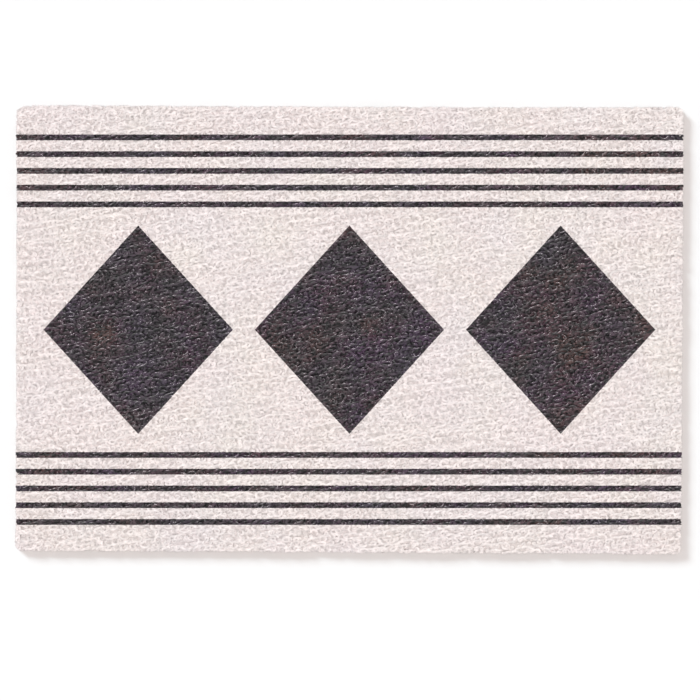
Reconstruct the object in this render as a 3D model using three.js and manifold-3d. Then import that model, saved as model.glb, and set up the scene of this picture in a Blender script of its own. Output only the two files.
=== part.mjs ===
// A flat doormat of curled loop pile, made as one cut piece.
//
// Millimetres, +Z up. The origin is the middle of the underside, +X runs along the long edges and +Y
// across the mat to its far long edge. The solid reaches from the floor to the tops of the loops.

import * as THREE from 'three';
import { mergeVertices } from 'three/addons/utils/BufferGeometryUtils.js';
import Module from 'manifold-3d';

// Driving dimensions
const MAT_LENGTH = 914.4;
const MAT_WIDTH = 609.6;
const PILE_TOP = 12;
const RIM_ROUND = 3;

// The cut isn't quite square. Each row is one edge, walked anticlockwise from the near left corner, with
// how far the edge stands out from the true rectangle at its start, at its middle and at its end.
const EDGES = [
  { name: 'near', along: [1, 0], out: [0, -1], start: -0.9, middle: 1.6, end: 3.9 },
  { name: 'right', along: [0, 1], out: [1, 0], start: -1.7, middle: 0.5, end: 1.9 },
  { name: 'far', along: [-1, 0], out: [0, 1], start: 0.8, middle: 1.4, end: 3.7 },
  { name: 'left', along: [0, -1], out: [-1, 0], start: 0.3, middle: 0.7, end: 2.0 },
];

// The corner at the end of each edge in turn, with how much of the edge that arrives there and of the
// edge that leaves there its rounding takes up. The far left corner is nipped along the far edge.
const CORNERS = [
  { name: 'near right', arriving: 9, leaving: 8 },
  { name: 'far right', arriving: 8, leaving: 9 },
  { name: 'far left', arriving: 40, leaving: 8 },
  { name: 'near left', arriving: 8, leaving: 9 },
];

// Facets
const CURVE_STEPS = 10;
const RIM_STEPS = 4;
const SAME_POINT = 1e-4;

// Room around the mat for the block that trims its underside flat
const TRIM_ROOM = 20;
const TRIM_DEPTH = 2;

const PILE_COLOUR = 0xe8dfdb;
const PILE_ROUGHNESS = 0.85;

const wasm = await Module();
wasm.setup();

// The place on a true edge at -1, its start, 0, its middle, or 1, its end, moved outwards by a distance.
function placeOnEdge(edge, station, outwards) {
  const along = new THREE.Vector2(...edge.along);
  const out = new THREE.Vector2(...edge.out);
  const half = new THREE.Vector2(MAT_LENGTH / 2, MAT_WIDTH / 2);
  const place = out.clone().multiply(half).add(along.multiply(half).multiplyScalar(station));
  return place.addScaledVector(out, outwards);
}

// The corner where one edge ends and the next one starts.
function cornerAfter(index) {
  const edge = EDGES[index];
  const next = EDGES[(index + 1) % EDGES.length];
  const corner = placeOnEdge(edge, 1, edge.end);
  return corner.addScaledVector(new THREE.Vector2(...next.out), next.start);
}

// One edge between the roundings at its two ends, bowed to pass through its middle.
function edgeRun(index) {
  const last = (index + EDGES.length - 1) % EDGES.length;
  const corners = [cornerAfter(last), cornerAfter(index)];
  const way = corners[1].clone().sub(corners[0]).normalize();
  const from = corners[0].clone().addScaledVector(way, CORNERS[last].leaving);
  const to = corners[1].clone().addScaledVector(way, -CORNERS[index].arriving);
  const middle = placeOnEdge(EDGES[index], 0, EDGES[index].middle);
  const pull = middle.multiplyScalar(2).sub(from.clone().add(to).multiplyScalar(0.5));
  return { from, pull, to, corner: corners[1] };
}

function matOutline() {
  const runs = EDGES.map((edge, index) => edgeRun(index));
  const outline = new THREE.Shape();
  outline.moveTo(runs[0].from.x, runs[0].from.y);
  runs.forEach(({ pull, to, corner }, index) => {
    const next = runs[(index + 1) % runs.length].from;
    outline.quadraticCurveTo(pull.x, pull.y, to.x, to.y);
    outline.quadraticCurveTo(corner.x, corner.y, next.x, next.y);
  });
  return outline;
}

function solidOf(geometry) {
  geometry.deleteAttribute('normal');
  geometry.deleteAttribute('uv');
  const merged = mergeVertices(geometry, SAME_POINT);
  return new wasm.Manifold(new wasm.Mesh({
    numProp: 3,
    vertProperties: Float32Array.from(merged.attributes.position.array),
    triVerts: Uint32Array.from(merged.index.array),
  }));
}

function geometryOf(solid) {
  const mesh = solid.getMesh();
  const geometry = new THREE.BufferGeometry();
  geometry.setAttribute('position', new THREE.BufferAttribute(mesh.vertProperties, mesh.numProp));
  geometry.setIndex(new THREE.BufferAttribute(mesh.triVerts, 1));
  geometry.computeVertexNormals();
  return geometry;
}

// The cut piece with a round upper rim. It starts lower than the floor, so that trimming it there leaves
// a flat underside with a crisp edge.
function matGeometry() {
  const raised = new THREE.ExtrudeGeometry(matOutline(), {
    depth: PILE_TOP - RIM_ROUND + TRIM_DEPTH,
    curveSegments: CURVE_STEPS,
    bevelEnabled: true,
    bevelSegments: RIM_STEPS,
    bevelThickness: RIM_ROUND,
    bevelSize: RIM_ROUND,
    bevelOffset: -RIM_ROUND,
  });
  raised.translate(0, 0, -TRIM_DEPTH);
  const block = new THREE.BoxGeometry(MAT_LENGTH + TRIM_ROOM, MAT_WIDTH + TRIM_ROOM, PILE_TOP + TRIM_ROOM);
  block.translate(0, 0, (PILE_TOP + TRIM_ROOM) / 2);

  const geometry = geometryOf(solidOf(raised).intersect(solidOf(block)));
  geometry.computeBoundingBox();
  const middle = geometry.boundingBox.getCenter(new THREE.Vector3());
  return geometry.translate(-middle.x, -middle.y, 0);
}

const loopPile = new THREE.MeshStandardMaterial({
  color: PILE_COLOUR,
  roughness: PILE_ROUGHNESS,
  metalness: 0,
});

const loopMat = new THREE.Mesh(matGeometry(), loopPile);
loopMat.name = 'loop_mat';

const doormat = new THREE.Group();
doormat.add(loopMat);

export default doormat;
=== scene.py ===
"""A doormat of curled loop pile, cream with a charcoal print, lying flat on a pale floor.

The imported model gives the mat's outline and height. Round it this builds, in metres, a base that holds the
loops together, the curled threads that stand on it and the threads that show where the mat was cut.
"""

import math

import bmesh
import bpy
import numpy as np
from bpy.props import FloatProperty, FloatVectorProperty, IntProperty, PointerProperty
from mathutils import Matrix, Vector


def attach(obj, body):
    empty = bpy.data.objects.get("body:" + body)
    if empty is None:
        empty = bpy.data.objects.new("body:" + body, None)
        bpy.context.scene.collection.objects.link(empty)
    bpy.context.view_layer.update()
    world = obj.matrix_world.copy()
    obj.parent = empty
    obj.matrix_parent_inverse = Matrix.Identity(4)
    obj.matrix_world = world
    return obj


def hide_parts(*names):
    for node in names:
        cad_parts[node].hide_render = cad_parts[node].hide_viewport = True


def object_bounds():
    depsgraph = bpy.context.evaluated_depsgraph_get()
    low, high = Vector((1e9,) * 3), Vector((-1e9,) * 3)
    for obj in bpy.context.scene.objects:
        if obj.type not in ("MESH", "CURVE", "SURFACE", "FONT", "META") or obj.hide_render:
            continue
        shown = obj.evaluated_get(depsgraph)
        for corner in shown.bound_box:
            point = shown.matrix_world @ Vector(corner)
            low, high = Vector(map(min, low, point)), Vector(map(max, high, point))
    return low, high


bl_info = {
    "name": "Loop pile doormat",
    "version": (1, 0, 0),
    "blender": (4, 5, 0),
    "location": "View3D > Sidebar > Doormat",
    "description": "Builds a printed doormat of curled loop pile on a studio floor",
    "category": "Add Mesh",
}

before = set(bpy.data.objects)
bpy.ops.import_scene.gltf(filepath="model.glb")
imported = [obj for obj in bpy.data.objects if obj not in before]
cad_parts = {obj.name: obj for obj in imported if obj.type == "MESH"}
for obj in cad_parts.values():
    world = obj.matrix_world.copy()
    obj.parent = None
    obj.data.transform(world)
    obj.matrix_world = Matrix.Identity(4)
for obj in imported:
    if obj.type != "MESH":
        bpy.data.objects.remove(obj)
CAD_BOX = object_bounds()

MAT_NODE = "loop_mat"
MAT_BODY = "root"

# Name under which the export looks for a map that is already laid out
FLAT_MAP = "OFBake"

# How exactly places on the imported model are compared, in metres and in decimals
SAME_PLACE = 1e-5
PLACE_DECIMALS = 5

# Least divisor, for where a thread stands still or runs straight
NEAR_ZERO = 1e-5

# Threads are three-sided tubes, so that tens of thousands of curls stay light
THREAD_SIDES = 3
STEPS_PER_CURL = 9
SHORTEST_RUN = 3
LOOP_PIECES = 5

# How much of the way to the middle of a bend the inside of a thread may take up
BEND_SHARE = 0.8

# How far curls differ in their turn and the way they lean, in radians, and in height, in metres
TURN_SPREAD = 0.6
LEAN_WAY_SPREAD = 2.2
HEIGHT_SPREAD = 0.0005

# How far curls differ in length, width and lean, as shares of these
LENGTH_SPREAD = 0.2
WIDTH_SPREAD = 0.22
LEAN_SPREAD = 0.3

# Curls by which a row is longer than the mat, and in a fine and in a wide bite of the uneven cut
SPARE_CURLS = 4
BITE_CURLS = (1, 5)

# A face looks up if its normal rises by more than this
LOOKS_UP = 0.5

# Kinds of sockets of the node groups
NUMBER = "NodeSocketFloat"
COLOUR = "NodeSocketColor"
VECTOR = "NodeSocketVector"

# Slow drifts of hue: scales per metre, how far from 0.5 the noise is used, and the most of the third hue
GROUND_DRIFT_SCALE = 11.0
INK_DRIFT_SCALE = 16.0
DRIFT_DETAIL = 2.0
DRIFT_SPREAD = 0.15
ROSY_SHARE = 0.5
SLATE_SHARE = 0.7

# Fine differences in shade: scales per metre and how far from 0.5 the noise is used
MOTTLING_SCALE = 190.0
MOTTLING_SPREAD = 0.2
STREAK_SCALE = 330.0
STREAK_SPREAD = 0.12
SHADE_DETAIL = 1.0

# Streaks on the ink, partly uneven ink and partly painted highlights, are turned by an angle and drawn out,
# and the thick ones are this much smoother
STREAK_TURN = 0.35
STREAK_STRETCH = 2.5
STREAK_SMOOTHING = 0.6

# The print's wandering edge, and how many lozenges stand to each side of the middle one
BLEED_SCALE = 420.0
BLEED_DETAIL = 1.0
LOZENGES_EACH_SIDE = 1.0

# Lumps on the base: scale per metre and depth in metres
LUMP_SCALE = 260.0
LUMP_DEPTH = 0.0012

FLOOR_ROUGHNESS = 0.9
FLOOR_GLOSS = 0.1


# Settings


class PileSettings(bpy.types.PropertyGroup):
    """Sizes of the curled threads and of the base that holds them."""

    base_height: FloatProperty(
        name="Base height",
        description="Height of the pressed base under the loops",
        default=0.0080,
        unit="LENGTH",
    )
    base_inset: FloatProperty(
        name="Base inset",
        description="How far the base stays inside the cut edge",
        default=0.0052,
        unit="LENGTH",
    )
    thread_thickness: FloatProperty(
        name="Thread thickness",
        description="Thickness of one curled thread",
        default=0.0040,
        unit="LENGTH",
    )
    thread_flatness: FloatProperty(
        name="Thread flatness",
        description="How much flatter than round the upper side of a thread is shaded",
        default=0.3,
        min=0.0,
        max=2.0,
        subtype="FACTOR",
    )
    row_pitch: FloatProperty(
        name="Row pitch",
        description="Distance between rows of curls",
        default=0.0055,
        unit="LENGTH",
    )
    row_turn: FloatProperty(
        name="Row turn",
        description="How far the rows of curls are turned from the mat's long edges",
        default=0.15,
        subtype="ANGLE",
    )
    curl_advance: FloatProperty(
        name="Curl advance",
        description="How far a thread moves along its row in one curl",
        default=0.0074,
        unit="LENGTH",
    )
    curl_length: FloatProperty(
        name="Curl length",
        description="Length of a curl along its row, at the middle of the thread",
        default=0.0076,
        unit="LENGTH",
    )
    curl_width: FloatProperty(
        name="Curl width",
        description="Width of a curl across its row, at the middle of the thread",
        default=0.0052,
        unit="LENGTH",
    )
    curl_lean: FloatProperty(
        name="Curl lean",
        description="How far a curl's raised side stands above its middle",
        default=0.0016,
        unit="LENGTH",
    )
    curl_slant: FloatProperty(
        name="Curl slant",
        description="How far the curls are turned from the way of their row",
        default=0.25,
        subtype="ANGLE",
    )
    edge_layers: IntProperty(
        name="Edge layers",
        description="Layers of curls that show at the cut edge, under the loops of the top",
        default=4,
        min=2,
    )
    edge_rise: FloatProperty(
        name="Edge rise",
        description="Distance from one layer of the edge's curls up to the next",
        default=0.0020,
        unit="LENGTH",
    )
    edge_depth: FloatProperty(
        name="Edge depth",
        description="How far inside the cut edge the middles of its curls lie",
        default=0.0046,
        unit="LENGTH",
    )
    height_ease: FloatProperty(
        name="Height ease",
        description="How gently the threads level off at the top and the bottom of the pile",
        default=0.0005,
        unit="LENGTH",
    )
    unevenness: FloatProperty(
        name="Unevenness",
        description="How much the curls differ from each other",
        default=0.8,
        min=0.0,
        max=2.0,
        subtype="FACTOR",
    )
    jitter: FloatProperty(
        name="Jitter",
        description="How far a curl is off its place in the row",
        default=0.0020,
        unit="LENGTH",
    )
    wander: FloatProperty(
        name="Wander",
        description="How far a row wanders from its straight line",
        default=0.0012,
        unit="LENGTH",
    )
    wander_curls: FloatProperty(
        name="Wander curls",
        description="Number of curls in which a row wanders to one side",
        default=4.0,
        min=1.0,
    )
    rim_round: FloatProperty(
        name="Rim round",
        description="Radius by which the pile falls away at the cut edge",
        default=0.003,
        unit="LENGTH",
    )
    cut_raggedness: FloatProperty(
        name="Cut raggedness",
        description="How unevenly the threads are cut off at the edge",
        default=0.0003,
        unit="LENGTH",
    )
    cut_inset: FloatProperty(
        name="Cut inset",
        description="How far inside the cut the middles of the threads end",
        default=0.0013,
        unit="LENGTH",
    )
    seed: IntProperty(
        name="Seed",
        description="Starting number for the curls' unevenness",
        default=24,
        min=0,
    )


class PrintSettings(bpy.types.PropertyGroup):
    """Sizes of the print: a row of lozenges between two bands of fine lines."""

    lozenge_length: FloatProperty(
        name="Lozenge length",
        description="Length of a lozenge along the mat",
        default=0.260,
        unit="LENGTH",
    )
    lozenge_height: FloatProperty(
        name="Lozenge height",
        description="Height of a lozenge across the mat",
        default=0.286,
        unit="LENGTH",
    )
    lozenge_pitch: FloatProperty(
        name="Lozenge pitch",
        description="Distance between the middles of two lozenges",
        default=0.290,
        unit="LENGTH",
    )
    line_width: FloatProperty(
        name="Line width",
        description="Width of a fine line",
        default=0.008,
        unit="LENGTH",
    )
    line_pitch: FloatProperty(
        name="Line pitch",
        description="Distance between the middles of two lines",
        default=0.023,
        unit="LENGTH",
    )
    first_line: FloatProperty(
        name="First line",
        description="Distance of the innermost line from the middle of the mat",
        default=0.172,
        unit="LENGTH",
    )
    lines: IntProperty(
        name="Lines",
        description="Number of lines in each band",
        default=5,
        min=1,
    )
    bleed: FloatProperty(
        name="Bleed",
        description="How far the ink's edge wanders",
        default=0.0005,
        unit="LENGTH",
    )


class ColourSettings(bpy.types.PropertyGroup):
    """Colours of the threads, the ink and the floor, and the painted shade and light on the threads."""

    warm_ground: FloatVectorProperty(
        name="Warm ground",
        description="Cream of the bare threads where it is warmest",
        default=(0.90, 0.825, 0.79, 1.0),
        size=4,
        subtype="COLOR",
    )
    cool_ground: FloatVectorProperty(
        name="Cool ground",
        description="Cream of the bare threads where it is coolest",
        default=(0.89, 0.815, 0.81, 1.0),
        size=4,
        subtype="COLOR",
    )
    rosy_ground: FloatVectorProperty(
        name="Rosy ground",
        description="Cream of the bare threads where it is rosiest",
        default=(0.91, 0.80, 0.79, 1.0),
        size=4,
        subtype="COLOR",
    )
    brown_ink: FloatVectorProperty(
        name="Brown ink",
        description="Charcoal ink where it is brownest",
        default=(0.053, 0.026, 0.0235, 1.0),
        size=4,
        subtype="COLOR",
    )
    violet_ink: FloatVectorProperty(
        name="Violet ink",
        description="Charcoal ink where it is most violet",
        default=(0.0435, 0.0212, 0.044, 1.0),
        size=4,
        subtype="COLOR",
    )
    slate_ink: FloatVectorProperty(
        name="Slate ink",
        description="Charcoal ink where it is greyest",
        default=(0.028, 0.026, 0.0345, 1.0),
        size=4,
        subtype="COLOR",
    )
    # Painted shade and light: factors that darken the threads low in the pile and lighten the tops of the
    # loops, where shade and light fall
    deep_painted_shade: FloatProperty(
        name="Deep painted shade",
        description="How light the threads are down at the base, as a factor of their colour",
        default=0.86,
        min=0.0,
        max=2.0,
        subtype="FACTOR",
    )
    top_painted_light: FloatProperty(
        name="Top painted light",
        description="How light the threads are at the tops of the loops, as a factor of their colour",
        default=1.04,
        min=0.0,
        max=2.0,
        subtype="FACTOR",
    )
    gloss: FloatProperty(
        name="Gloss",
        description="How strongly the threads mirror the lights",
        default=0.9,
        min=0.0,
        max=1.0,
        subtype="FACTOR",
    )
    floor: FloatVectorProperty(
        name="Floor",
        description="Colour of the pale floor",
        default=(0.696, 0.647, 0.629, 1.0),
        size=4,
        subtype="COLOR",
    )


class StageSettings(bpy.types.PropertyGroup):
    """Floor, lights and camera."""

    floor_side: FloatProperty(
        name="Floor side",
        description="Side of the square floor",
        default=60.0,
        unit="LENGTH",
    )
    sky_strength: FloatProperty(
        name="Sky strength",
        description="Strength of the even light from all round",
        default=0.58,
        min=0.0,
    )
    wall_strength: FloatProperty(
        name="Wall strength",
        description="Brightness of the white wall round the floor, which only low views see",
        default=1.0,
        min=0.0,
    )
    wall_height: FloatProperty(
        name="Wall height",
        description="How high the white wall reaches, as seen from the mat",
        default=math.radians(8),
        subtype="ANGLE",
    )
    key_strength: FloatProperty(
        name="Key strength",
        description="Strength of the soft light from the far left",
        default=3.37,
        min=0.0,
    )
    key_colour: FloatVectorProperty(
        name="Key colour",
        description="Colour of the soft light, cooler than the floor that it whitens",
        default=(0.814, 1.027, 1.122),
        size=3,
        min=0.0,
        subtype="COLOR",
    )
    key_angle: FloatProperty(
        name="Key angle",
        description="How wide the soft light looks from the mat",
        default=math.radians(20),
        subtype="ANGLE",
    )
    key_way: FloatVectorProperty(
        name="Key direction",
        description="Way in which the soft light shines",
        default=(1.45, -1.4, -1.0),
        size=3,
        subtype="DIRECTION",
    )
    top_strength: FloatProperty(
        name="Top strength",
        description="Strength of the soft light from above",
        default=1.53,
        min=0.0,
    )
    top_angle: FloatProperty(
        name="Top angle",
        description="How wide the light from above looks from the mat",
        default=math.radians(20),
        subtype="ANGLE",
    )
    top_way: FloatVectorProperty(
        name="Top direction",
        description="Way in which the light from above shines",
        default=(0.0, 0.0, -1.0),
        size=3,
        subtype="DIRECTION",
    )
    gloss_strength: FloatProperty(
        name="Gloss strength",
        description="Strength of the light that the threads only mirror",
        default=1.75,
        min=0.0,
    )
    gloss_colour: FloatVectorProperty(
        name="Gloss colour",
        description="Colour of the light that the threads only mirror",
        default=(1.0, 0.94, 0.97),
        size=3,
        min=0.0,
        subtype="COLOR",
    )
    gloss_angle: FloatProperty(
        name="Gloss angle",
        description="How wide the mirrored light looks from the mat",
        default=math.radians(25),
        subtype="ANGLE",
    )
    gloss_way: FloatVectorProperty(
        name="Gloss direction",
        description="Way in which the mirrored light shines",
        default=(0.5, -1.2, -1.0),
        size=3,
        subtype="DIRECTION",
    )
    camera_height: FloatProperty(
        name="Camera height",
        description="Height of the camera above the tops of the loops",
        default=4.0,
        unit="LENGTH",
    )
    view_side: FloatProperty(
        name="View side",
        description="Side of the square that the camera sees at the tops of the loops",
        default=0.96075,
        unit="LENGTH",
    )
    view_middle: FloatVectorProperty(
        name="View middle",
        description="Middle of that square, from the middle of the mat",
        default=(0.0008, -0.0279),
        size=2,
        subtype="XYZ_LENGTH",
    )


# Shapes


def mat_outline():
    """The cut's outline on the floor, anticlockwise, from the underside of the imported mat."""
    corners = np.array([v.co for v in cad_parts[MAT_NODE].data.vertices])
    under = corners[corners[:, 2] < CAD_BOX[0].z + SAME_PLACE, :2]
    under = np.unique(under.round(PLACE_DECIMALS), axis=0)
    return under[np.argsort(np.arctan2(under[:, 1], under[:, 0]))]


def depth_inside(points, outline):
    """How far inside the outline each point lies, negative outside, and how far round the outline it is."""
    nearest = np.full(len(points), np.inf)
    inside = np.zeros(len(points))
    round_it = np.zeros(len(points))
    reach = 0
    for start, end in zip(outline, np.roll(outline, -1, axis=0)):
        along = end - start
        length = math.hypot(*along)
        from_start = points - start
        share = np.clip(from_start @ along / length**2, 0, 1)
        gap = np.hypot(*(from_start - share[:, None] * along).T)
        side = along[0] * from_start[:, 1] - along[1] * from_start[:, 0]
        closer = gap < nearest
        inside[closer] = np.sign(side[closer])
        nearest[closer] = gap[closer]
        round_it[closer] = reach + share[closer] * length
        reach += length
    return nearest * inside, round_it


class RaggedCut:
    """The cut round the mat, which bites into the outline unevenly."""

    def __init__(self, outline, pile):
        self.outline = outline
        self.girth = np.hypot(*(outline - np.roll(outline, -1, axis=0)).T).sum()
        chance = np.random.default_rng(pile.seed)
        self.bites = [
            chance.normal(0, pile.cut_raggedness, round(self.girth / (curls * pile.curl_advance)))
            for curls in BITE_CURLS
        ]

    def depth(self, points):
        """How far inside the uneven cut each point lies."""
        depth, round_it = depth_inside(points, self.outline)
        for bites in self.bites:
            places = np.linspace(0, self.girth, len(bites))
            depth += np.interp(round_it, places, bites, period=self.girth)
        return depth


def drift(chance, turns, spread):
    """A value for each step of a row that wanders smoothly from curl to curl."""
    curls = np.arange(math.ceil(turns[-1]) + 1)
    return np.interp(turns, curls, chance.normal(0, spread, len(curls)))


def curl_row(chance, length, pile):
    """One thread curling along a row: its way along the row, across it and up, about the row's middle."""
    curls = math.ceil(length / pile.curl_advance)
    turns = np.arange(curls * STEPS_PER_CURL + 1) / STEPS_PER_CURL
    spread = pile.unevenness
    way = chance.choice((-1, 1))
    angle = way * math.tau * turns + drift(chance, turns, TURN_SPREAD * spread)
    long_half = pile.curl_length / 2 * (1 + drift(chance, turns, LENGTH_SPREAD * spread))
    wide_half = pile.curl_width / 2 * (1 + drift(chance, turns, WIDTH_SPREAD * spread))
    lean = pile.curl_lean * (1 + drift(chance, turns, LEAN_SPREAD * spread))
    lean_way = drift(chance, turns, LEAN_WAY_SPREAD * spread)
    slant = drift(chance, turns, pile.curl_slant * spread)
    curl = np.stack([long_half * np.cos(angle), wide_half * np.sin(angle)])
    along = (turns - curls / 2) * pile.curl_advance + drift(chance, turns, pile.jitter * spread)
    along += curl[0] * np.cos(slant) - curl[1] * np.sin(slant)
    across = drift(chance, turns, pile.jitter * spread)
    across += drift(chance, turns / pile.wander_curls, pile.wander * spread)
    across += curl[0] * np.sin(slant) + curl[1] * np.cos(slant)
    up = lean * np.sin(angle + lean_way) + drift(chance, turns, HEIGHT_SPREAD * spread)
    return np.stack([along, across, up], 1)


def edge_row(chance, outline, pile):
    """One thread curling along the cut edge, all the way round the mat."""
    closed = np.vstack([outline, outline[:1]])
    reach = np.concatenate([[0], np.cumsum(np.hypot(*np.diff(closed, axis=0).T))])
    curls = curl_row(chance, reach[-1], pile)

    def on_edge(distance):
        return np.stack([np.interp(distance % reach[-1], reach, closed[:, axis]) for axis in (0, 1)], 1)

    ahead = on_edge(curls[:, 0] + pile.curl_width / 2) - on_edge(curls[:, 0] - pile.curl_width / 2)
    ahead /= np.linalg.norm(ahead, axis=1)[:, None]
    inwards = np.stack([-ahead[:, 1], ahead[:, 0]], 1)
    place = on_edge(curls[:, 0]) + inwards * (pile.edge_depth + curls[:, 1])[:, None]
    return np.column_stack([place, curls[:, 2]])


def ease_between(height, low, high, ease):
    """Heights eased to lie between two levels, so that no two threads lie in exactly the same plane."""
    under = high - ease * np.logaddexp(0, (high - height) / ease)
    return low + ease * np.logaddexp(0, (under - low) / ease)


def cut_runs(path, depth):
    """The stretches of a path that lie inside the cut, each ending right on it."""
    runs = []
    run = []
    for here in range(len(path)):
        crosses = here > 0 and (depth[here - 1] > 0) != (depth[here] > 0)
        if crosses:
            share = depth[here - 1] / (depth[here - 1] - depth[here])
            run.append(path[here - 1] + share * (path[here] - path[here - 1]))
        if crosses and depth[here] <= 0:
            runs.append(np.array(run))
            run = []
        if depth[here] > 0:
            run.append(path[here])
    runs.append(np.array(run))
    return [found for found in runs if len(found) >= SHORTEST_RUN]


def thread_rise(pile):
    """How high the flat top of a three-sided thread stands above the thread's middle."""
    return pile.thread_thickness / 4


def pile_rows(outline, pile):
    """The threads of the pile: for each row, its stretches inside the cut."""
    chance = np.random.default_rng(pile.seed)
    cut = RaggedCut(outline, pile)
    ahead = np.array([math.cos(pile.row_turn), math.sin(pile.row_turn)])
    aside = np.array([-ahead[1], ahead[0]])
    turned = np.stack([outline @ ahead, outline @ aside], 1)
    low, high = turned.min(0), turned.max(0)
    length = high[0] - low[0] + SPARE_CURLS * pile.curl_length
    top = CAD_BOX[1].z - thread_rise(pile)
    lowest = CAD_BOX[0].z + pile.base_height
    rows = []
    for row in range(math.ceil((high[1] - low[1]) / pile.row_pitch) + 1):
        path = curl_row(chance, length, pile)
        path[:, 0] += (low[0] + high[0]) / 2 + chance.uniform(-0.5, 0.5) * pile.curl_advance
        path[:, 1] += low[1] + row * pile.row_pitch
        path[:, :2] = path[:, :1] * ahead + path[:, 1:2] * aside
        path[:, 2] += top - pile.curl_lean
        depth = cut.depth(path[:, :2]) - pile.cut_inset
        fall = np.clip(1 - depth / pile.rim_round, 0, 1)
        highest = top - pile.rim_round * (1 - np.sqrt(1 - fall**2))
        path[:, 2] = ease_between(path[:, 2], lowest, highest, pile.height_ease)
        rows.append(cut_runs(path, depth))
    return rows


def share_out(rows):
    """The stretches of thread for each piece of the pile, which get about the same length of it each."""
    steps = [sum(map(len, row)) for row in rows]
    piece_of_row = np.cumsum(steps) * LOOP_PIECES // (sum(steps) + 1)
    return [
        [run for row in np.flatnonzero(piece_of_row == piece) for run in rows[row]]
        for piece in range(LOOP_PIECES)
    ]


def edge_rows(outline, pile):
    """The threads at the cut edge: for each layer from the floor up, its stretches inside the cut."""
    chance = np.random.default_rng(pile.seed + 1)
    cut = RaggedCut(outline, pile)
    lowest = CAD_BOX[0].z + pile.thread_thickness / 2
    highest = CAD_BOX[1].z - pile.rim_round - thread_rise(pile)
    layers = []
    for layer in range(pile.edge_layers):
        path = edge_row(chance, outline, pile)
        height = path[:, 2] + (lowest + layer * pile.edge_rise)
        path[:, 2] = ease_between(height, lowest, highest, pile.height_ease)
        layers.append(cut_runs(path, cut.depth(path[:, :2]) - pile.cut_inset))
    return layers


def thread_rings(run, pile):
    """The corners of a thread along one stretch, a ring of them at each step, and their normals."""
    ahead = np.gradient(run, axis=0)
    bend = np.gradient(ahead, axis=0)
    speed = np.maximum(np.hypot(ahead[:, 0], ahead[:, 1]), NEAR_ZERO)
    curving = (ahead[:, 0] * bend[:, 1] - ahead[:, 1] * bend[:, 0]) / speed**3
    side = np.stack([-ahead[:, 1], ahead[:, 0], np.zeros(len(run))], 1) / speed[:, None]
    top = np.cross(ahead / np.linalg.norm(ahead, axis=1)[:, None], side)

    # A ring starts at the underside, so that the other two corners carry the flat top
    turn = -math.pi / 2 + math.tau * np.arange(THREAD_SIDES) / THREAD_SIDES
    up = np.sin(turn)[None, :, None]
    out = np.cos(turn) * np.ones((len(run), 1))
    flatter = np.where(up > 0, pile.thread_flatness, 0)
    normals = out[:, :, None] * side[:, None] + up * top[:, None] + flatter * top[:, None]

    # On the inside of a tight curl the thread is pinched, so that it doesn't fold over
    radius = pile.thread_thickness / 2
    room = BEND_SHARE / np.maximum(np.abs(curving), NEAR_ZERO)[:, None]
    inside = out * curving[:, None] > 0
    out = np.where(inside, np.clip(out * radius, -room, room), out * radius)
    corners = run[:, None] + out[:, :, None] * side[:, None] + radius * up * top[:, None]
    return corners.reshape(-1, 3), normals.reshape(-1, 3)


def thread_mesh(name, runs, pile):
    """One mesh of three-sided threads along these stretches, closed at both ends."""
    corners = []
    normals = []
    quads = []
    ends = []
    count = 0
    for run in runs:
        ring_corners, ring_normals = thread_rings(run, pile)
        corners.append(ring_corners)
        normals.append(ring_normals)
        first = count + THREAD_SIDES * np.arange(len(run) - 1)[:, None] + np.arange(THREAD_SIDES)
        second = np.roll(first, -1, axis=1)
        faces = np.stack([first, second, second + THREAD_SIDES, first + THREAD_SIDES], 2)
        quads.append(faces.reshape(-1, 4))
        last = count + THREAD_SIDES * (len(run) - 1)
        ends.append(count + np.arange(THREAD_SIDES)[::-1])
        ends.append(last + np.arange(THREAD_SIDES))
        count += THREAD_SIDES * len(run)
    mesh = mesh_of(name, np.concatenate(corners), [np.concatenate(quads), np.array(ends)])
    mesh.normals_split_custom_set_from_vertices(np.concatenate(normals).tolist())
    return mesh


def mesh_of(name, corners, face_sets):
    """A smooth mesh from arrays of corners and of faces, each set of faces with its own number of corners."""
    mesh = bpy.data.meshes.new(name)
    sizes = np.concatenate([np.full(len(faces), faces.shape[1]) for faces in face_sets])
    order = np.concatenate([faces.ravel() for faces in face_sets])
    mesh.vertices.add(len(corners))
    mesh.vertices.foreach_set("co", corners.astype(np.float32).ravel())
    mesh.loops.add(len(order))
    mesh.loops.foreach_set("vertex_index", order.astype(np.int32))
    mesh.polygons.add(len(sizes))
    mesh.polygons.foreach_set("loop_start", (np.cumsum(sizes) - sizes).astype(np.int32))
    mesh.update(calc_edges=True)
    mesh.validate()
    mesh.shade_smooth()
    return mesh


def lay_flat_map(mesh):
    """A map seen from straight above, because the print's colour goes by place on the mat."""
    places = np.empty(len(mesh.vertices) * 3, np.float32)
    mesh.vertices.foreach_get("co", places)
    places = places.reshape(-1, 3)[:, :2]
    corner = np.empty(len(mesh.loops), np.int32)
    mesh.loops.foreach_get("vertex_index", corner)
    low = places.min(0)
    flat = (places - low) / (places.max(0) - low)
    layer = mesh.uv_layers.new(name=FLAT_MAP)
    layer.uv.foreach_set("vector", flat[corner].ravel())


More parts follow.
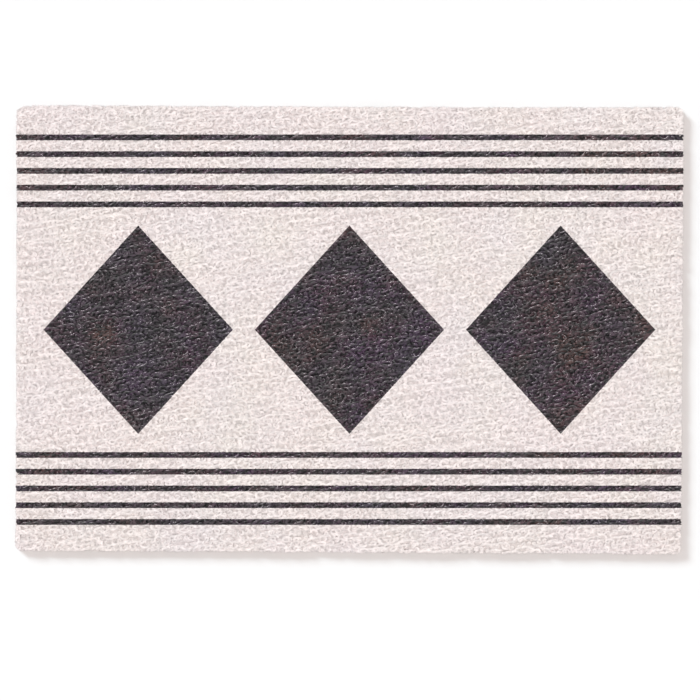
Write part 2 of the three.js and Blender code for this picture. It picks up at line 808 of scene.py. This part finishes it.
def base_mesh(name, pile):
    """A slab inside the cut, with its upper side in the first material and the rest in the second."""
    shape = bmesh.new()
    outline = [shape.verts.new((x, y, CAD_BOX[0].z)) for x, y in mat_outline()]
    face = shape.faces.new(outline)
    face.normal_update()
    inset = {"thickness": pile.base_inset, "use_even_offset": True, "use_boundary": True}
    rim = bmesh.ops.inset_region(shape, faces=[face], **inset)
    bmesh.ops.delete(shape, geom=rim["faces"], context="FACES")
    raised = bmesh.ops.extrude_face_region(shape, geom=shape.faces[:], use_keep_orig=True)["geom"]
    top = [part for part in raised if isinstance(part, bmesh.types.BMVert)]
    bmesh.ops.translate(shape, verts=top, vec=(0, 0, pile.base_height))
    bmesh.ops.recalc_face_normals(shape, faces=shape.faces[:])
    for side in shape.faces:
        side.material_index = 0 if side.normal.z > LOOKS_UP else 1
    mesh = bpy.data.meshes.new(name)
    shape.to_mesh(mesh)
    shape.free()
    return mesh


def add_piece(context, name, mesh, *materials):
    """Puts a piece of the mat into the scene, on the mat's body."""
    for material in materials:
        mesh.materials.append(material)
    piece = bpy.data.objects.new(name, mesh)
    context.scene.collection.objects.link(piece)
    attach(piece, MAT_BODY)
    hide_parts(MAT_NODE)


# Finishes


class NodeSheet:
    """Adds nodes to a node tree and joins them, one call for each."""

    def __init__(self, tree):
        self.tree = tree

    def put(self, value, socket):
        """Joins an output to a socket, or sets the socket to a plain value."""
        if isinstance(value, bpy.types.NodeSocket):
            self.tree.links.new(value, socket)
        else:
            socket.default_value = value

    def add(self, kind, inputs=None, **settings):
        """A new node with these settings, and a value or an output for each named or numbered input."""
        node = self.tree.nodes.new(kind)
        for key, value in settings.items():
            setattr(node, key, value)
        for key, value in (inputs or {}).items():
            self.put(value, node.inputs[key])
        return node

    def add_group(self, tree, inputs):
        """The outputs of a node that stands for a node group."""
        return self.add("ShaderNodeGroup", inputs, node_tree=tree).outputs

    def calculate(self, operation, *values):
        """The output of a Math node."""
        return self.add("ShaderNodeMath", dict(enumerate(values)), operation=operation).outputs[0]

    def combine(self, operation, first, second):
        """The output of a Vector Math node with two vectors."""
        return self.add("ShaderNodeVectorMath", {0: first, 1: second}, operation=operation).outputs[0]

    def scale(self, vector, factor):
        """A vector made longer, or a colour made lighter, by a factor."""
        return self.add("ShaderNodeVectorMath", {0: vector, "Scale": factor}, operation="SCALE").outputs[0]

    def blend(self, share, low, high):
        """The output of a Mix node for colours."""
        node = self.add("ShaderNodeMix", {"Factor": share, "A": low, "B": high}, data_type="RGBA")
        return next(socket for socket in node.outputs if socket.type == "RGBA")

    def map_range(self, value, inputs):
        """The output of a Map Range node."""
        return self.add("ShaderNodeMapRange", {"Value": value, **inputs}).outputs["Result"]

    def noise(self, place, scale, detail):
        """The outputs of a Noise Texture node."""
        return self.add("ShaderNodeTexNoise", {"Vector": place, "Scale": scale, "Detail": detail}).outputs

    def about_one(self, noise, swing, spread):
        """A factor that goes from 1 less the swing to 1 more than it, over this spread of the noise."""
        ends = {"From Min": 0.5 - spread, "From Max": 0.5 + spread, "To Min": -1.0, "To Max": 1.0}
        return self.calculate("MULTIPLY_ADD", self.map_range(noise, ends), swing, 1.0)

    def drifts(self, place, scale):
        """Two shares from 0 to 1 that drift over the surface, each in its own way."""
        colour = self.noise(place, scale, DRIFT_DETAIL)["Color"]
        split = self.add("ShaderNodeSeparateColor", {"Color": colour})
        ends = {"From Min": 0.5 - DRIFT_SPREAD, "From Max": 0.5 + DRIFT_SPREAD}
        return [self.map_range(part, ends) for part in split.outputs[:2]]


def new_group(name, inputs, outputs):
    """A shader node group, what it is given and what it makes.

    Its sockets are listed as (name, kind), and an input may have a default after them.
    """
    tree = bpy.data.node_groups.new(name, "ShaderNodeTree")
    for label, kind, *default in inputs:
        socket = tree.interface.new_socket(label, in_out="INPUT", socket_type=kind)
        if default:
            socket.default_value = default[0]
    for label, kind in outputs:
        tree.interface.new_socket(label, in_out="OUTPUT", socket_type=kind)
    given = tree.nodes.new("NodeGroupInput").outputs
    made = tree.nodes.new("NodeGroupOutput").inputs
    return tree, given, made


def print_group():
    """Where the ink lies: a row of lozenges between two bands of fine lines."""
    name = "mat print"
    if name in bpy.data.node_groups:
        return bpy.data.node_groups[name]
    tree, given, made = new_group(
        name,
        [
            ("Place", VECTOR),
            ("Lozenge length", NUMBER),
            ("Lozenge height", NUMBER),
            ("Lozenge pitch", NUMBER),
            ("Line width", NUMBER),
            ("Line pitch", NUMBER),
            ("First line", NUMBER),
            ("Last line number", NUMBER),
            ("Bleed", NUMBER),
        ],
        [("Ink", NUMBER)],
    )
    sheet = NodeSheet(tree)
    calculate = sheet.calculate

    # The ink's edge wanders by a noise that is centred on zero
    wander = sheet.noise(given["Place"], BLEED_SCALE, BLEED_DETAIL)["Color"]
    centred = sheet.combine("SUBTRACT", wander, (0.5, 0.5, 0.5))
    place = sheet.combine("ADD", given["Place"], sheet.scale(centred, given["Bleed"]))
    split = sheet.add("ShaderNodeSeparateXYZ", {"Vector": place}).outputs
    x = split["X"]
    y = calculate("ABSOLUTE", split["Y"])

    # Lozenges: the nearest of the middles, then the shares of a lozenge's length and height away from it
    pitch = given["Lozenge pitch"]
    nearest = calculate("ROUND", calculate("DIVIDE", x, pitch))
    nearest = calculate("MAXIMUM", nearest, -LOZENGES_EACH_SIDE)
    nearest = calculate("MINIMUM", nearest, LOZENGES_EACH_SIDE)
    away = calculate("ABSOLUTE", calculate("SUBTRACT", x, calculate("MULTIPLY", nearest, pitch)))
    in_length = calculate("DIVIDE", away, given["Lozenge length"])
    in_height = calculate("DIVIDE", y, given["Lozenge height"])
    lozenge = calculate("LESS_THAN", calculate("ADD", in_length, in_height), 0.5)

    # Lines: the nearest line of the band, then whether the place is within half its width
    steps = calculate("DIVIDE", calculate("SUBTRACT", y, given["First line"]), given["Line pitch"])
    line = calculate("MAXIMUM", calculate("ROUND", steps), 0.0)
    line = calculate("MINIMUM", line, given["Last line number"])
    off = calculate("ABSOLUTE", calculate("SUBTRACT", steps, line))
    off = calculate("MULTIPLY", off, given["Line pitch"])
    lines = calculate("LESS_THAN", off, calculate("MULTIPLY", given["Line width"], 0.5))

    sheet.put(calculate("MAXIMUM", lozenge, lines), made["Ink"])
    return tree


def thread_group():
    """Colour and roughness of a thread, bare or inked, with drifts of hue, fine differences in shade, painted
    highlights on the ink, and painted shade low in the pile with painted light at the tops.
    """
    name = "thread finish"
    if name in bpy.data.node_groups:
        return bpy.data.node_groups[name]
    tree, given, made = new_group(
        name,
        [
            ("Place", VECTOR),
            ("Ink", NUMBER),
            ("Warm ground", COLOUR),
            ("Cool ground", COLOUR),
            ("Rosy ground", COLOUR),
            ("Brown ink", COLOUR),
            ("Violet ink", COLOUR),
            ("Slate ink", COLOUR),
            ("Bare mottling", NUMBER, 0.14),
            ("Ink streaks", NUMBER, 0.95),
            ("Bare roughness", NUMBER, 0.85),
            ("Inked roughness", NUMBER, 0.33),
            ("Lowest", NUMBER),
            ("Highest", NUMBER),
            ("Lowest shade", NUMBER, 1.0),
            ("Highest shade", NUMBER, 1.0),
        ],
        [("Color", COLOUR), ("Roughness", NUMBER)],
    )
    sheet = NodeSheet(tree)
    calculate = sheet.calculate
    place = given["Place"]

    # Hues of the bare thread and of the ink
    cool, rosy = sheet.drifts(place, GROUND_DRIFT_SCALE)
    ground = sheet.blend(cool, given["Warm ground"], given["Cool ground"])
    ground = sheet.blend(calculate("MULTIPLY", rosy, ROSY_SHARE), ground, given["Rosy ground"])
    violet, slate = sheet.drifts(place, INK_DRIFT_SCALE)
    ink = sheet.blend(violet, given["Brown ink"], given["Violet ink"])
    ink = sheet.blend(calculate("MULTIPLY", slate, SLATE_SHARE), ink, given["Slate ink"])

    # Mottling of the bare thread, and streaks along the slant of the curls that are partly uneven ink and
    # partly painted highlights on the ink
    mottling = sheet.noise(place, MOTTLING_SCALE, SHADE_DETAIL)["Fac"]
    mottling = sheet.about_one(mottling, given["Bare mottling"], MOTTLING_SPREAD)
    drawn_out = sheet.add(
        "ShaderNodeMapping",
        {"Vector": place, "Rotation": (0.0, 0.0, STREAK_TURN), "Scale": (STREAK_STRETCH, 1.0, 1.0)},
        vector_type="TEXTURE",
    ).outputs[0]
    streaks_and_highlights = sheet.noise(drawn_out, STREAK_SCALE, SHADE_DETAIL)["Fac"]
    streaks_and_highlights = sheet.about_one(streaks_and_highlights, given["Ink streaks"], STREAK_SPREAD)
    # Painted highlights: the ink is lightened along the streaks
    colour = sheet.blend(given["Ink"], sheet.scale(ground, mottling), sheet.scale(ink, streaks_and_highlights))

    # Painted shade and light: threads are darker down in the pile and lighter at the tops of the loops
    height = sheet.add("ShaderNodeSeparateXYZ", {"Vector": place}).outputs["Z"]
    levels = {"From Min": given["Lowest"], "From Max": given["Highest"]}
    painted_shades = {"To Min": given["Lowest shade"], "To Max": given["Highest shade"]}
    sheet.put(sheet.scale(colour, sheet.map_range(height, {**levels, **painted_shades})), made["Color"])

    # The light streaks on the ink, which hold the painted highlights, are the smoothest
    bare_rough = calculate("MULTIPLY", given["Bare roughness"], mottling)
    dullness = calculate("MULTIPLY_ADD", streaks_and_highlights, -STREAK_SMOOTHING, 1.0 + STREAK_SMOOTHING)
    inked_rough = calculate("MULTIPLY", given["Inked roughness"], dullness)
    rough = sheet.map_range(given["Ink"], {"To Min": bare_rough, "To Max": inked_rough})
    sheet.put(rough, made["Roughness"])
    return tree


def thread_material(scene, name, printed, painted_shades, lumpy=False):
    """Threads of the pile, printed or bare, with the painted shade of the lowest and the painted light of the
    highest.

    Lumps in a bump stand for threads too deep to model.
    """
    if name in bpy.data.materials:
        return bpy.data.materials[name]
    material = bpy.data.materials.new(name)
    material.use_nodes = True
    material.node_tree.nodes.clear()
    sheet = NodeSheet(material.node_tree)
    place = sheet.add("ShaderNodeTexCoord").outputs["Object"]
    colours = scene.doormat_colours
    sizes = scene.doormat_print
    ink = 0.0
    if printed:
        marks = {
            "Place": place,
            "Lozenge length": sizes.lozenge_length,
            "Lozenge height": sizes.lozenge_height,
            "Lozenge pitch": sizes.lozenge_pitch,
            "Line width": sizes.line_width,
            "Line pitch": sizes.line_pitch,
            "First line": sizes.first_line,
            "Last line number": sizes.lines - 1,
            "Bleed": sizes.bleed,
        }
        ink = sheet.add_group(print_group(), marks)["Ink"]
    values = {
        "Place": place,
        "Ink": ink,
        "Warm ground": colours.warm_ground,
        "Cool ground": colours.cool_ground,
        "Rosy ground": colours.rosy_ground,
        "Brown ink": colours.brown_ink,
        "Violet ink": colours.violet_ink,
        "Slate ink": colours.slate_ink,
        "Lowest": CAD_BOX[0].z + scene.doormat_pile.base_height,
        "Highest": CAD_BOX[1].z,
        "Lowest shade": painted_shades[0],
        "Highest shade": painted_shades[1],
    }
    finish = sheet.add_group(thread_group(), values)
    looks = {"Base Color": finish["Color"], "Roughness": finish["Roughness"]}
    shader = sheet.add("ShaderNodeBsdfPrincipled", {**looks, "Specular IOR Level": colours.gloss})
    if lumpy:
        cells = sheet.add("ShaderNodeTexVoronoi", {"Vector": place, "Scale": LUMP_SCALE}, feature="F1")
        lumps = {"Height": cells.outputs["Distance"], "Strength": 1.0, "Distance": LUMP_DEPTH}
        normal = sheet.add("ShaderNodeBump", lumps).outputs["Normal"]
        sheet.put(normal, shader.inputs["Normal"])
    sheet.add("ShaderNodeOutputMaterial", {"Surface": shader.outputs[0]}, is_active_output=True)
    return material


def floor_material(scene):
    """A plain, dull floor."""
    material = bpy.data.materials.new("pale floor")
    material.use_nodes = True
    shader = material.node_tree.nodes["Principled BSDF"]
    shader.inputs["Base Color"].default_value = scene.doormat_colours.floor
    shader.inputs["Roughness"].default_value = FLOOR_ROUGHNESS
    shader.inputs["Specular IOR Level"].default_value = FLOOR_GLOSS
    return material


# Stage


def floor_mesh(name, side):
    """A flat square about the middle."""
    mesh = bpy.data.meshes.new(name)
    shape = bmesh.new()
    bmesh.ops.create_grid(shape, x_segments=1, y_segments=1, size=side / 2)
    shape.to_mesh(mesh)
    shape.free()
    return mesh


def studio_world(stage):
    """Even light from all round, with a white wall low round the floor that fades out at twice its height."""
    world = bpy.data.worlds.new("studio")
    world.use_nodes = True
    sheet = NodeSheet(world.node_tree)
    way = sheet.add("ShaderNodeTexCoord").outputs["Generated"]
    up = sheet.add("ShaderNodeSeparateXYZ", {"Vector": way}).outputs["Z"]
    top = math.sin(stage.wall_height)
    heights = {"From Min": top, "From Max": 2 * top}
    strengths = {"To Min": stage.wall_strength, "To Max": stage.sky_strength}
    inputs = {"Value": up, **heights, **strengths}
    level = sheet.add("ShaderNodeMapRange", inputs, interpolation_type="SMOOTHSTEP").outputs["Result"]
    sky = world.node_tree.nodes["Background"]
    sky.inputs["Color"].default_value = (1.0, 1.0, 1.0, 1.0)
    sheet.put(level, sky.inputs["Strength"])
    return world


def add_light(scene, name, strength, angle, way):
    """A distant soft light that shines the given way."""
    light = bpy.data.lights.new(name, "SUN")
    light.energy = strength
    light.angle = angle
    lamp = bpy.data.objects.new(name, light)
    lamp.rotation_euler = Vector(way).to_track_quat("-Z", "Y").to_euler()
    scene.collection.objects.link(lamp)
    return lamp


def add_camera(scene, stage):
    """The camera, straight above the mat."""
    view = bpy.data.cameras.new("camera")
    view.lens = view.sensor_width * stage.camera_height / stage.view_side
    camera = bpy.data.objects.new("camera", view)
    camera.location = (*stage.view_middle, CAD_BOX[1].z + stage.camera_height)
    scene.collection.objects.link(camera)
    scene.camera = camera


# Operators


class DOORMAT_OT_stage(bpy.types.Operator):
    """Lay the floor and set the lights and the camera"""

    bl_idname = "doormat.stage"
    bl_label = "Stage"

    def execute(self, context):
        scene = context.scene
        stage = scene.doormat_stage

        mesh = floor_mesh("floor", stage.floor_side)
        mesh.materials.append(floor_material(scene))
        floor = bpy.data.objects.new("floor", mesh)
        floor.location.z = CAD_BOX[0].z
        scene.collection.objects.link(floor)

        # The key light only whitens the floor, and of the others the pile scatters one and mirrors one
        scene.world = studio_world(stage)
        floor_only = bpy.data.collections.new("floor only")
        floor_only.objects.link(floor)
        key = add_light(scene, "key light", stage.key_strength, stage.key_angle, stage.key_way)
        key.data.color = stage.key_colour
        key.light_linking.receiver_collection = floor_only
        top = add_light(scene, "top light", stage.top_strength, stage.top_angle, stage.top_way)
        top.visible_glossy = False
        gloss = add_light(scene, "gloss light", stage.gloss_strength, stage.gloss_angle, stage.gloss_way)
        gloss.data.color = stage.gloss_colour
        gloss.visible_diffuse = False

        add_camera(scene, stage)
        scene.view_settings.view_transform = "Standard"
        return {"FINISHED"}


class DOORMAT_OT_base(bpy.types.Operator):
    """Press the base that holds the loops together"""

    bl_idname = "doormat.base"
    bl_label = "Base"

    def execute(self, context):
        scene = context.scene
        # The base is painted throughout in the shade of the deepest threads
        painted_shades = (scene.doormat_colours.deep_painted_shade, scene.doormat_colours.deep_painted_shade)
        mesh = base_mesh("mat_base", scene.doormat_pile)
        printed = thread_material(scene, "printed base", True, painted_shades, lumpy=True)
        bare = thread_material(scene, "bare base", False, painted_shades, lumpy=True)
        add_piece(context, "mat_base", mesh, printed, bare)
        return {"FINISHED"}


class DOORMAT_OT_loops(bpy.types.Operator):
    """Curl the threads of the pile, row by row, and cut them off at the mat's edge"""

    bl_idname = "doormat.loops"
    bl_label = "Loops"

    def execute(self, context):
        scene = context.scene
        pile = scene.doormat_pile
        # Painted shade low in the pile and painted light at the tops of the loops
        painted_shades = (scene.doormat_colours.deep_painted_shade, scene.doormat_colours.top_painted_light)
        material = thread_material(scene, "printed loops", True, painted_shades)
        for number, runs in enumerate(share_out(pile_rows(mat_outline(), pile)), 1):
            name = f"pile_loops_{number}"
            mesh = thread_mesh(name, runs, pile)
            lay_flat_map(mesh)
            add_piece(context, name, mesh, material)
        return {"FINISHED"}


class DOORMAT_OT_edges(bpy.types.Operator):
    """Curl the threads that show at the cut edges, under the loops of the top"""

    bl_idname = "doormat.edges"
    bl_label = "Edges"

    def execute(self, context):
        scene = context.scene
        pile = scene.doormat_pile
        # The edge's threads lie low and get the painted shade of the deep pile
        painted_shades = (scene.doormat_colours.deep_painted_shade, scene.doormat_colours.top_painted_light)
        *lower, topmost = edge_rows(mat_outline(), pile)
        edge = thread_mesh("edge_loops", [run for layer in lower for run in layer], pile)
        add_piece(context, "edge_loops", edge, thread_material(scene, "bare loops", False, painted_shades))

        # Ink soaks down to the topmost layer, which shows between the loops at the rim
        rim = thread_mesh("rim_loops", topmost, pile)
        lay_flat_map(rim)
        add_piece(context, "rim_loops", rim, thread_material(scene, "printed loops", True, painted_shades))
        return {"FINISHED"}


class DOORMAT_PT_sidebar(bpy.types.Panel):
    """The doormat's operators and settings"""

    bl_label = "Doormat"
    bl_idname = "DOORMAT_PT_sidebar"
    bl_space_type = "VIEW_3D"
    bl_region_type = "UI"
    bl_category = "Doormat"

    def draw(self, context):
        for operator in OPERATORS:
            self.layout.operator(operator.bl_idname)
        for name in SETTINGS:
            group = getattr(context.scene, name)
            box = self.layout.box()
            for key in group.__annotations__:
                box.prop(group, key)


SETTINGS = {
    "doormat_pile": PileSettings,
    "doormat_print": PrintSettings,
    "doormat_colours": ColourSettings,
    "doormat_stage": StageSettings,
}
OPERATORS = (DOORMAT_OT_stage, DOORMAT_OT_base, DOORMAT_OT_loops, DOORMAT_OT_edges)


def register():
    for group in SETTINGS.values():
        bpy.utils.register_class(group)
    for name, group in SETTINGS.items():
        setattr(bpy.types.Scene, name, PointerProperty(type=group))
    for operator in OPERATORS:
        bpy.utils.register_class(operator)
    bpy.utils.register_class(DOORMAT_PT_sidebar)


def unregister():
    bpy.utils.unregister_class(DOORMAT_PT_sidebar)
    for operator in reversed(OPERATORS):
        bpy.utils.unregister_class(operator)
    for name, group in SETTINGS.items():
        delattr(bpy.types.Scene, name)
        bpy.utils.unregister_class(group)


def main():
    register()
    bpy.ops.doormat.stage()
    bpy.ops.doormat.base()
    bpy.ops.doormat.loops()
    bpy.ops.doormat.edges()


if __name__ == "__main__":
    main()
